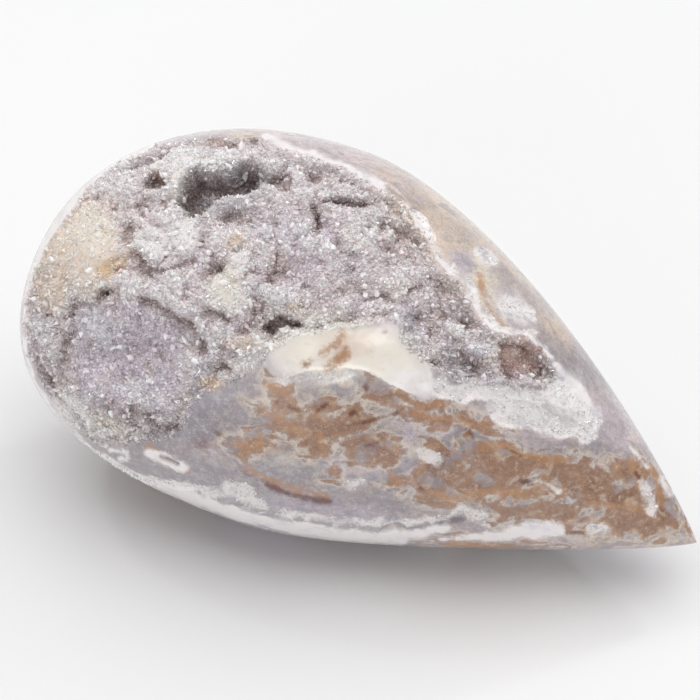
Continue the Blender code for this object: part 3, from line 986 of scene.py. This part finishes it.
class Recipe:
    """A material as it is being mixed."""

    def __init__(self, name):
        self.material = bpy.data.materials.new(name)
        self.material.use_nodes = True
        self.tree = self.material.node_tree
        self.shader = self.tree.nodes["Principled BSDF"]
        self.place = self.node("ShaderNodeTexCoord", output="Object")

    def node(self, kind, settings=None, inputs=None, output=0):
        """Adds a node: its settings first, then a value or a wire for each named or numbered socket."""
        node = self.tree.nodes.new(kind)
        for key, value in (settings or {}).items():
            setattr(node, key, value)
        for key, value in (inputs or {}).items():
            if isinstance(value, Wire):
                self.tree.links.new(value.socket, node.inputs[key])
            else:
                node.inputs[key].default_value = value
        return Wire(self, node.outputs[output])

    def mix(self, factor, first, second):
        """Colour that goes from first to second as the factor goes from 0 to 1."""
        return self.node(
            "ShaderNodeMix", {"data_type": "RGBA"}, {0: factor, 6: tone(first), 7: tone(second)}, output=2
        )

    def wash(self, colour, other, strength, value, low, high):
        """The colour, gone towards the other by the strength times the step of the value."""
        return self.mix(self.step(value, low, high) * strength, colour, other)

    def number(self, name):
        """A number stored at the piece's points."""
        return self.node("ShaderNodeAttribute", {"attribute_name": name}, output="Fac")

    def paint(self, name):
        """A colour stored at the piece's points."""
        return self.node("ShaderNodeAttribute", {"attribute_name": name}, output="Color")

    def noise(self, size, detail=3.0, roughness=0.55, distortion=0.0, shift=0.0, drawn_out=1.0):
        """Noise about 0, from -0.5 to 0.5, with features of this size in millimetres, or this many times
        longer along the stone."""
        settings = {"operation": "MULTIPLY_ADD"}
        place = self.node(
            "ShaderNodeVectorMath", settings, {0: self.place, 1: (1.0 / drawn_out, 1.0, 1.0), 2: (shift,) * 3}
        )
        sockets = {
            "Vector": place, "Scale": 1.0 / (size * MM), "Detail": detail, "Roughness": roughness,
            "Distortion": distortion,
        }
        return self.node("ShaderNodeTexNoise", None, sockets) - 0.5

    def sine(self, value):
        """Sine of a wire, in radians."""
        return self.node("ShaderNodeMath", {"operation": "SINE"}, {0: value})

    def step(self, value, low, high):
        """0 at low, 1 at high, smooth between. low may be the larger."""
        if low > high:
            return 1.0 - self.step(value, high, low)
        sockets = {"Value": value, "From Min": low, "From Max": high}
        return self.node("ShaderNodeMapRange", {"interpolation_type": "SMOOTHSTEP"}, sockets)

    def ring(self, value, start, full, fading, end):
        """1 in a band of the value and 0 outside it: grows from start to full, fades from fading to end."""
        return self.step(value, start, full) * (1.0 - self.step(value, fading, end))

    def finish(self, constants, links):
        """Sets the shader's plain values, wires the rest and gives back the material."""
        for name, value in constants.items():
            self.shader.inputs[name].default_value = value
        for name, wire in links.items():
            self.tree.links.new(wire.socket, self.shader.inputs[name])
        return self.material


def tone(colour):
    """A palette name as a shader colour; a wire stays as it is."""
    return (*linear(colour), 1.0) if isinstance(colour, str) else colour


class StoneRecipe(Recipe):
    """The polished agate as it is being mixed. Its noises go from wide to grain, and other and flow are
    drawn out along the stone. They make the gaps to the drawn shapes ragged."""

    def __init__(self):
        super().__init__("agate_stone")
        self.wide = self.noise(4.5, 4.0, 0.6, 0.8, 0.1)
        self.coarse = self.noise(1.9, 5.0, 0.65, 0.5)
        self.fine = self.noise(0.55, 4.0, 0.7, shift=0.3)
        self.grain = self.noise(0.17, 3.0, 0.75, shift=0.7)
        self.other = self.noise(1.2, 4.0, 0.60, 1.0, 0.9, 2.2)
        self.flow = self.noise(2.6, 1.5, 0.5, 1.6, 0.5, 1.7)
        ragged = 3.0 * self.coarse + 1.3 * self.fine + 0.4 * self.grain
        gap = self.number("stain_gap")
        self.stain = gap + ragged
        self.patch = gap + 3.4 * self.flow + 2.0 * self.other + 0.5 * self.fine
        self.bands = self.sine(17.0 * self.flow + 3.5 * self.other + 2.0 * gap)
        self.vein = self.number("vein_gap") + 0.45 * ragged
        self.speck = self.number("speck_gap") + 0.22 * ragged
        self.druse = self.step(self.number("druse_gap") + 0.5 * self.fine, 0.10, -0.10)
        self.plate = self.step(self.number("plate_gap") + 0.6 * self.fine, 0.08, -0.12)
        self.shell = self.step(self.number("shell_gap") + 0.5 * ragged, 0.30, -0.25)
        self.frost = self.step(self.number("frost_gap") + 0.8 * ragged, 0.35, -0.35)
        self.amber = self.mix(self.step(self.other + 0.8 * self.fine, -0.30, 0.20), "rust", "ochre")

    def clouded(self):
        """The stone's tint, clouded slate, haze and cream, with umber grains."""
        colour = self.wash(self.paint("tint"), "slate", 0.60, self.wide, 0.12, -0.22)
        colour = self.wash(colour, "haze", 0.36, self.coarse, -0.06, 0.24)
        colour = self.wash(colour, "cream", 0.22, self.fine, -0.05, 0.28)
        return self.wash(colour, "umber", 0.40, self.grain + 0.6 * self.fine, 0.05, -0.30)

    def stained(self, colour):
        """A stain is a wide brown haze with an ivory outline, then amber patches with an ivory rind, a
        browner middle, thin tan and rust bands along their edges and dark cores. Slate windows, ochre
        veins, and umber and cream grains lie over it."""
        haze = self.step(self.stain, 1.7, -0.7) * (0.62 + 0.7 * self.other)
        colour = self.mix(haze, colour, self.mix(self.step(self.fine, -0.1, 0.3), "sienna", "tan"))
        colour = self.mix(self.ring(self.stain, 0.95, 0.70, 0.62, 0.38) * 0.45, colour, "ivory")
        colour = self.mix(self.ring(self.patch, 0.75, 0.55, 0.50, 0.32) * 0.40, colour, "ivory")
        colour = self.wash(colour, self.amber, 0.60 + 0.5 * self.fine, self.patch, 0.40, -0.10)
        brown = self.mix(0.5 + self.fine, "sienna", "rust")
        colour = self.wash(colour, brown, 0.62 + 0.8 * self.coarse, self.patch, -0.15, -0.75)
        near = self.step(self.patch, 2.2, 0.5) * 0.36
        colour = self.wash(colour, "tan", near, self.bands, 0.40, 1.0)
        colour = self.wash(colour, "rust", near, self.bands, -0.40, -1.0)
        dark = self.step(self.fine + 0.6 * self.grain, 0.12, -0.20) * 0.60
        colour = self.wash(colour, "oxblood", dark, self.patch, -0.5, -1.6)
        colour = self.wash(colour, "slate", 0.62, self.wide + 0.8 * self.flow, 0.02, 0.22)
        colour = self.wash(colour, "ochre", 0.6, self.vein, 0.40, -0.20)
        colour = self.wash(colour, "umber", 0.50, self.grain + 0.4 * self.fine, -0.02, -0.26)
        return self.wash(colour, "cream", 0.42, self.grain + 0.6 * self.fine, 0.06, 0.30)

    def white_shell(self):
        """Chalk, clouded with haze and ivory."""
        white = self.wash("chalk", "haze", 0.7, self.coarse, -0.05, 0.2)
        return self.wash(white, "ivory", 0.3, self.fine, 0.05, 0.25)

    def plate_colour(self):
        """The plate's tint, mottled chalk and tan, with amber and rust marks."""
        colour = self.mix(0.25 + 0.9 * self.coarse, self.paint("tint"), "chalk")
        colour = self.wash(colour, "tan", 0.45, self.other + 0.7 * self.fine, 0.04, 0.30)
        colour = self.wash(colour, "chalk", 0.6, self.wide + 0.4 * self.fine, -0.02, -0.20)
        colour = self.wash(colour, self.amber, 0.7, self.vein + 1.6 * self.fine, 0.5, -0.3)
        return self.wash(colour, "rust", 0.7, self.speck, 0.35, -0.12)

    def bed_colour(self):
        """The druse's tint between its points, with umber and chalk grains."""
        colour = self.mix(0.1 + 0.5 * self.grain, self.paint("tint"), "umber")
        return self.wash(colour, "chalk", 0.4, self.fine + self.grain, 0.0, 0.25)


def stone_material():
    """Polished agate with its stains, then white shell, dark marks, the plate, frost and the rough bed of
    the druse, each laid over the ones before it."""
    mixed = StoneRecipe()
    colour = mixed.mix(mixed.shell * 0.94, mixed.stained(mixed.clouded()), mixed.white_shell())
    colour = mixed.wash(colour, "oxblood", 0.78, mixed.speck, 0.34, -0.16)
    colour = mixed.mix(mixed.plate, colour, mixed.plate_colour())
    frosted = mixed.wash("chalk", "haze", 0.6, mixed.coarse, -0.05, 0.2)
    colour = mixed.mix(mixed.frost * (0.82 + 0.4 * mixed.grain + 0.4 * mixed.fine), colour, frosted)
    colour = mixed.mix(mixed.druse, colour, mixed.bed_colour())

    rough = mixed.node("ShaderNodeMath", {"operation": "MAXIMUM"}, {0: mixed.druse, 1: mixed.frost})
    roughness = 0.14 + 0.14 * mixed.fine + 0.35 * rough
    bump_height = mixed.grain * (0.25 + 0.75 * mixed.druse) + mixed.fine * 0.2
    normal = mixed.node(
        "ShaderNodeBump", None, {"Strength": 0.4, "Distance": 0.12 * MM, "Height": bump_height}
    )
    constants = {
        "IOR": 1.54, "Subsurface Weight": 0.25, "Subsurface Radius": (1.0, 0.9, 0.85),
        "Subsurface Scale": 0.8 * MM,
    }
    return mixed.finish(constants, {"Base Color": colour, "Roughness": roughness, "Normal": normal})


def crystal_material():
    """Milky quartz: glossy flat faces over a body that scatters light, with a frosty bloom in places."""
    mixed = Recipe("agate_quartz_points")
    fine = mixed.noise(0.5, 3.0, 0.6)
    colour = mixed.mix(0.06 + 0.24 * mixed.step(fine, 0.0, 0.25), mixed.paint("tint"), "chalk")
    roughness = 0.06 + 0.12 * mixed.step(fine, -0.1, 0.25)
    constants = {
        "IOR": 1.54, "Subsurface Weight": 0.5, "Subsurface Radius": (1.0, 0.95, 0.95),
        "Subsurface Scale": 0.3 * MM,
    }
    return mixed.finish(constants, {"Base Color": colour, "Roughness": roughness})


# The room

def floor_material():
    """Matt white card with the faintest mottle."""
    mixed = Recipe("white_card")
    mottle = mixed.noise(60.0, 2.0)
    colour = mixed.mix(0.5 + mottle, (0.86, 0.86, 0.865, 1.0), (0.875, 0.875, 0.875, 1.0))
    return mixed.finish({"Roughness": 0.7}, {"Base Color": colour})


def add_floor():
    """A level square sheet under the stone, reaching one metre and a half each way from it."""
    half = 1.5
    mesh = bpy.data.meshes.new("floor")
    corners = [(-half, -half, 0.0), (half, -half, 0.0), (half, half, 0.0), (-half, half, 0.0)]
    mesh.from_pydata(corners, [], [(0, 1, 2, 3)])
    mesh.materials.append(floor_material())
    floor = bpy.data.objects.new("floor", mesh)
    bpy.context.scene.collection.objects.link(floor)
    floor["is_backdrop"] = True


def add_lamp(name, place, target, size, power):
    """A square soft light that looks at the target."""
    lamp = bpy.data.lights.new(name, "AREA")
    lamp.shape = "SQUARE"
    lamp.size = size
    lamp.energy = power
    holder = bpy.data.objects.new(name, lamp)
    holder.location = place
    holder.rotation_euler = (Vector(target) - Vector(place)).to_track_quat("-Z", "Y").to_euler()
    bpy.context.scene.collection.objects.link(holder)


def add_room(heart):
    """Pale surroundings, one large soft light overhead, a low one in front that fills the worn face, and
    two small ones that make the crystals sparkle."""
    scene = bpy.context.scene
    world = bpy.data.worlds.new("pale_room")
    world.use_nodes = True
    background = world.node_tree.nodes["Background"]
    background.inputs["Color"].default_value = (1.0, 1.0, 1.0, 1.0)
    background.inputs["Strength"].default_value = 0.385
    scene.world = world
    add_lamp("key", (0.0, 0.10, 0.85), heart, 1.15, 6.8)
    add_lamp("front", (-0.10, -0.80, 0.16), heart, 0.55, 1.4)
    add_lamp("spark_behind", (0.25, 0.55, 0.50), heart, 0.08, 0.5)
    add_lamp("spark_left", (-0.40, 0.10, 0.62), heart, 0.06, 0.25)
    scene.view_settings.view_transform = "Standard"


def add_camera(heart):
    """The camera stands where the photograph was taken from, and looks a little to the right of the
    widest section's centre and a little below it."""
    distance = 420.0
    aim_right, aim_up = 5.09, -1.40
    across_frame = 76.0
    out, right, up = Vector(OUT), Vector(RIGHT), Vector(UP)
    camera = bpy.data.cameras.new("camera")
    camera.sensor_width = 36.0
    camera.lens = camera.sensor_width * distance / across_frame
    camera.clip_start = 0.01
    holder = bpy.data.objects.new("camera", camera)
    holder.location = heart + out * distance * MM
    target = heart + (right * aim_right + up * aim_up) * MM
    holder.rotation_euler = (target - holder.location).to_track_quat("-Z", "Y").to_euler()
    bpy.context.scene.collection.objects.link(holder)
    bpy.context.scene.camera = holder


# Putting it together

def settle(stone):
    """Moves the stone's points to where the CAD stone lies and grinds the flat it rests on. Returns
    where the centre of the widest section comes to lie."""
    low, high = (np.array(corner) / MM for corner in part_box("shell_agate"))
    flat = stone.ground.reshape(-1, 3)
    middle = (flat.min(axis=0) + flat.max(axis=0)) / 2.0
    heart = (low + high) / 2.0 - middle
    heart[2] = high[2] - flat[:, 2].max()
    stone.points = stone.points + heart
    stone.points[..., 2] = np.maximum(stone.points[..., 2], 0.0)
    return heart


def main():
    """Makes the stone's body and its quartz points, then the room and the camera."""
    rng = np.random.default_rng(SEED)
    stone = Stone()
    heart = settle(stone)
    points = without_extra_poles(stone.points)
    body = add_mesh("shell_agate_body", points, outward(points, closed_grid_faces()), stone_material(), True)
    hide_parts("shell_agate")
    for name in ("druse_gap", "stain_gap", "vein_gap", "speck_gap", "plate_gap", "shell_gap", "frost_gap"):
        add_attribute(body, name, without_extra_poles(getattr(stone, name)[..., None])[:, 0])
    add_attribute(body, "tint", without_extra_poles(stone.tint))

    quartz = crystal_material()
    share = 1.0
    crops = (
        ("druse_fine_1", stone.crowding, 14000, (0.17, 0.35, 0.34), 0.6, False, 0.06),
        ("druse_fine_2", stone.crowding, 14000, (0.17, 0.35, 0.34), 0.6, False, 0.06),
        ("druse_fine_3", stone.crowding, 18000, (0.13, 0.35, 0.28), 0.6, False, 0.15),
        ("druse_fine_4", stone.inside, 18000, (0.10, 0.30, 0.20), 0.5, False, 0.05),
        ("druse_coarse", stone.crowding, 2200, (0.15, 0.35, 0.30), 1.0, True, 0.15),
        # White quartz points that also stand in for glints: partly painted highlight
        ("druse_white_points_and_glints", stone.crowding, 420, (0.20, 0.30, 0.34), 1.0, True, 1.0),
        ("druse_frost", stone.frosted, 1800, (0.13, 0.35, 0.26), 0.5, False, 0.95),
    )
    for name, weight, count, sizes, spread, prism, pale in crops:
        grow_crystals(name, stone, weight, int(count * share), sizes, spread, prism, pale, quartz, rng)

    centre = Vector(heart) * MM
    add_floor()
    add_room(centre)
    add_camera(centre)
    sizes = {"cad": [list(corner) for corner in cad_bounds], "visual": [list(corner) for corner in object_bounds()]}


main()
